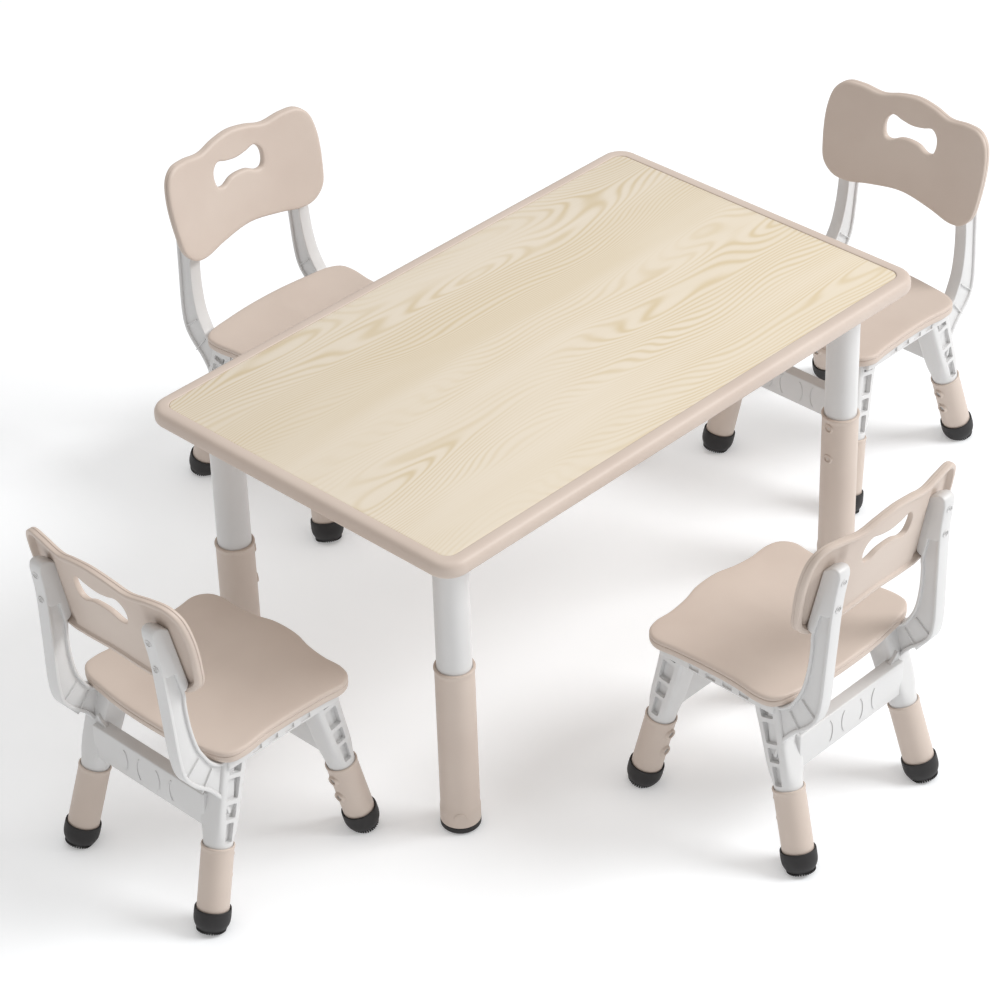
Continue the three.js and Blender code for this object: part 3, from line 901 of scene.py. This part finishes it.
def cross_rail_mesh(name, x, bottom, top, half_length, out):
    """A rail with a ledge along its top, panels marked out by arcs on its outer face, and end gussets."""
    bm = bmesh.new()
    thick = CROSS_RAIL_HALF_THICKNESS
    block(bm, (x - thick, -half_length, bottom), (x + thick, half_length, top), 2.2, segments=4)
    face = x + out * thick
    for centre, flip in ((-half_length + 62, 1), (half_length - 62, -1), (-14, -1), (14, 1)):
        arc = []
        for k in range(13):
            a = math.radians(-70 + 140 * k / 12)
            arc.append(Vector((centre + flip * 9 * math.cos(a), (bottom + top) / 2 + 19 * math.sin(a))))
        line = strip(arc, 1.7)
        prism(bm, line, min(face, face + out * 1.0) - 0.2, max(face, face + out * 1.0), "YZX", 0.4)
    for side in (-1, 1):
        gusset = [Vector((side * (half_length - 4), top - 1)), Vector((side * (half_length - 4), top + 16)),
                  Vector((side * (half_length - 22), top - 1))]
        prism(bm, soften(gusset, 3), x - 3, x + 3, "YZX", 0.8)
    return finished_mesh(name, bm, WHITE)


def chair_sleeve_meshes(leg, side, screws_towards):
    """A lower leg sleeve with a rolled lip and two bossed screws on one side."""
    r = CHAIR_SLEEVE_RADIUS
    inner = STUB_RADIUS + 0.4
    top = leg["sleeve_top"]
    outline = [
        (inner, 8.3), (r - 0.2, 8.3), (r - 0.2, top - 8), (r + 0.15, top - 5), (r + 0.7, top - 3),
        (r + 0.5, top - 1), (r - 0.4, top), (inner + 0.3, top), (inner, top - 0.8),
    ]
    place = leg_place(leg, side)
    bm = bmesh.new()
    steel_bm = bmesh.new()
    turned(bm, closed_profile(outline, 1.0), 64, place)
    for drop in CHAIR_SCREW_DROPS:
        spot = facing((screws_towards * (r - 1.6), 0, top - drop), (screws_towards, 0, 0))
        screw(bm, steel_bm, place @ spot, boss=7.8, rise=4.6)
    return bm, steel_bm


def boot_mesh(name, leg, side):
    """A rubber cup with a lip, a domed sole and a ring of small treads, worn level with the floor."""
    place = leg_place(leg, side)
    r = BOOT_RADIUS
    outline = [
        (0, -2), (14, -0.2), (18.6, 2.6), (20.6, 4.4), (21.6, 5.4), (22.2, 7.0), (24.2, 10.6), (25.5, 15),
        (r, 20), (r, 30), (r - 0.3, 34.2), (r - 1.2, 35), (r - 2.2, 34.8), (23.3, 33.6), (23.3, 8), (0, 8),
    ]
    points = soften(outline, 1.4, 3, closed=False)
    bm = bmesh.new()
    turned(bm, [(0, -2)] + [tuple(p) for p in points[1:-1]] + [(0, 8)], 64, place)
    for i in range(BOOT_TREADS):
        a = 2 * math.pi * i / BOOT_TREADS
        tread = place @ Matrix.Rotation(a, 4, "Z")
        block(bm, (17.4, -1.0, 1.0), (20.9, 1.0, 3.4), 0.3, tread, 1)
    for v in bm.verts:
        v.co.z = max(v.co.z, 0.0)
    return finished_mesh(name, bm, RUBBER)


def upright_screws():
    """The two screws in the rear face of each upright, each inside a low round ring."""
    white, metal = bmesh.new(), bmesh.new()
    for side in (-1, 1):
        for x, z in ((-184.0, 497), (-178.4, 452.5)):
            place = facing((x, side * upright_y(z), z), (-1, 0, -0.13))
            ring = [(6.0, -0.6), (5.7, 1.1), (5.2, 1.5), (4.6, 1.3), (4.3, -0.6), (0, -0.6)]
            turned(white, ring, 32, place)
            turned(metal, [(3.9, -0.5), (3.8, 0.1), (2.4, 0.45), (0, 0.5)], 32, place)
            for turn in (0, 90):
                cross = place @ Matrix.Rotation(math.radians(turn + 30), 4, "Z")
                block(metal, (-2.2, -0.3, 0.3), (2.2, 0.3, 0.6), 0.1, cross, 1)
    return white, metal


def chair_place(chair):
    """Where a chair stands, worked out from its seat and backrest."""
    seat_low, seat_high = (Vector(v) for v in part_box(f"{chair}_seat"))
    back_low, back_high = (Vector(v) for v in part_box(f"{chair}_backrest"))
    seat = (seat_low + seat_high) / 2
    forward = seat - (back_low + back_high) / 2
    angle = round(math.atan2(forward.y, forward.x) / (math.pi / 2)) * math.pi / 2
    xs = [p.x for p in seat_outline(400)]
    middle = Vector(((max(xs) + min(xs)) / 2 * MM, 0, 0))
    turn = Matrix.Rotation(angle, 4, "Z")
    origin = Vector((seat.x, seat.y, 0)) - turn @ middle
    return Matrix.Translation(origin) @ turn


def build_chairs():
    legs = {
        "front_left": (FRONT_LEG, 1, -1), "front_right": (FRONT_LEG, -1, -1),
        "rear_left": (REAR_LEG, 1, 1), "rear_right": (REAR_LEG, -1, 1),
    }
    seat, back = seat_mesh(), backrest_mesh()
    sides = {"left": side_frame_mesh(1), "right": side_frame_mesh(-1)}
    rear_rail = cross_rail_mesh("chair_rear_rail_mesh", -111, 150, 207, 114, -1)
    front_rail = cross_rail_mesh("chair_front_rail_mesh", 114, 139, 190, 110, 1)
    white, metal = upright_screws()
    bosses = finished_mesh("chair_upright_bosses_mesh", white, WHITE)
    screws = finished_mesh("chair_upright_screws_mesh", metal, STEEL)
    leg_meshes = {}
    for corner, (leg, side, towards) in legs.items():
        bm, steel_bm = chair_sleeve_meshes(leg, side, towards)
        leg_meshes[corner] = (
            finished_mesh(f"chair_sleeve_mesh_{corner}", bm, BEIGE),
            finished_mesh(f"chair_sleeve_screws_mesh_{corner}", steel_bm, STEEL),
            boot_mesh(f"chair_boot_mesh_{corner}", leg, side),
        )
    for chair in CHAIRS:
        place = chair_place(chair)
        body = f"{chair}_body"
        piece(f"{chair}_moulded_seat", seat, body, place, [f"{chair}_seat"])
        piece(f"{chair}_moulded_back", back, body, place, [f"{chair}_backrest"])
        for name, mesh in sides.items():
            piece(f"{chair}_side_frame_{name}", mesh, body, place, [f"{chair}_frame"])
        piece(f"{chair}_rear_rail", rear_rail, body, place, [f"{chair}_frame"])
        piece(f"{chair}_front_rail", front_rail, body, place, [f"{chair}_frame"])
        piece(f"{chair}_upright_bosses", bosses, body, place)
        piece(f"{chair}_upright_screws", screws, body, place)
        for corner, (sleeve, sleeve_screws, boot) in leg_meshes.items():
            leg_body = f"{chair}_leg_{corner}"
            piece(f"{chair}_lower_leg_{corner}", sleeve, leg_body, place,
                  [f"{chair}_sleeve_{corner}"])
            piece(f"{chair}_leg_screws_{corner}", sleeve_screws, leg_body, place)
            piece(f"{chair}_rubber_boot_{corner}", boot, leg_body, place,
                  [f"{chair}_boot_{corner}"])


# Floor, light and camera

def build_floor():
    mesh = bpy.data.meshes.new("floor")
    half = 14.0
    corners = [(-half, -half, 0), (half, -half, 0), (half, half, 0), (-half, half, 0)]
    mesh.from_pydata(corners, [], [(0, 1, 2, 3)])
    floor = bpy.data.objects.new("floor", mesh)
    floor.location.z = -0.0006
    n = Nodes("studio_floor")
    n.shader.inputs["Base Color"].default_value = (0.84, 0.865, 0.89, 1)
    n.shader.inputs["Roughness"].default_value = 0.9
    n.shader.inputs["Specular IOR Level"].default_value = 0.1
    n.shader.inputs["Emission Color"].default_value = (1, 1, 1, 1)
    n.shader.inputs["Emission Strength"].default_value = 0.25
    mesh.materials.append(n.material)
    bpy.context.scene.collection.objects.link(floor)


def area_light(name, place, aim, size, power):
    data = bpy.data.lights.new(name, "AREA")
    data.shape = "DISK"
    data.size = size
    data.energy = power
    light = bpy.data.objects.new(name, data)
    light.location = place
    light.rotation_euler = (Vector(aim) - Vector(place)).to_track_quat("-Z", "Y").to_euler()
    bpy.context.scene.collection.objects.link(light)


def build_light():
    world = bpy.data.worlds.new("studio")
    world.use_nodes = True
    background = world.node_tree.nodes["Background"]
    background.inputs["Color"].default_value = (1.0, 0.965, 0.93, 1)
    background.inputs["Strength"].default_value = 0.47
    bpy.context.scene.world = world
    area_light("key", (4.9, -5.6, 6.6), (0, 0, 0.2), 4.5, 605)
    area_light("top", (0.3, 0.0, 6.2), (0, 0, 0.2), 5.0, 90)


def build_camera():
    azimuth = math.radians(CAMERA_AZIMUTH)
    elevation = math.radians(CAMERA_ELEVATION)
    roll = math.radians(CAMERA_ROLL)
    target = TABLE + Vector(CAMERA_AIM)
    level = math.cos(elevation)
    back = Vector((math.sin(azimuth) * level, -math.cos(azimuth) * level, math.sin(elevation)))
    right = (-back).cross(Vector((0, 0, 1))).normalized()
    up = right.cross(-back)
    tilted_right = right * math.cos(roll) + up * math.sin(roll)
    tilted_up = up * math.cos(roll) - right * math.sin(roll)
    matrix = Matrix((tilted_right, tilted_up, back)).transposed().to_4x4()
    matrix.translation = target + back * CAMERA_DISTANCE
    data = bpy.data.cameras.new("camera")
    data.sensor_width = SENSOR_WIDTH
    data.lens = SENSOR_WIDTH * LENS_TO_SENSOR
    data.clip_end = 60.0
    camera = bpy.data.objects.new("camera", data)
    camera.matrix_world = matrix
    bpy.context.scene.collection.objects.link(camera)
    bpy.context.scene.camera = camera


build_camera()
build_table()
build_chairs()
build_floor()
build_light()
bpy.context.scene.view_settings.view_transform = "Standard"
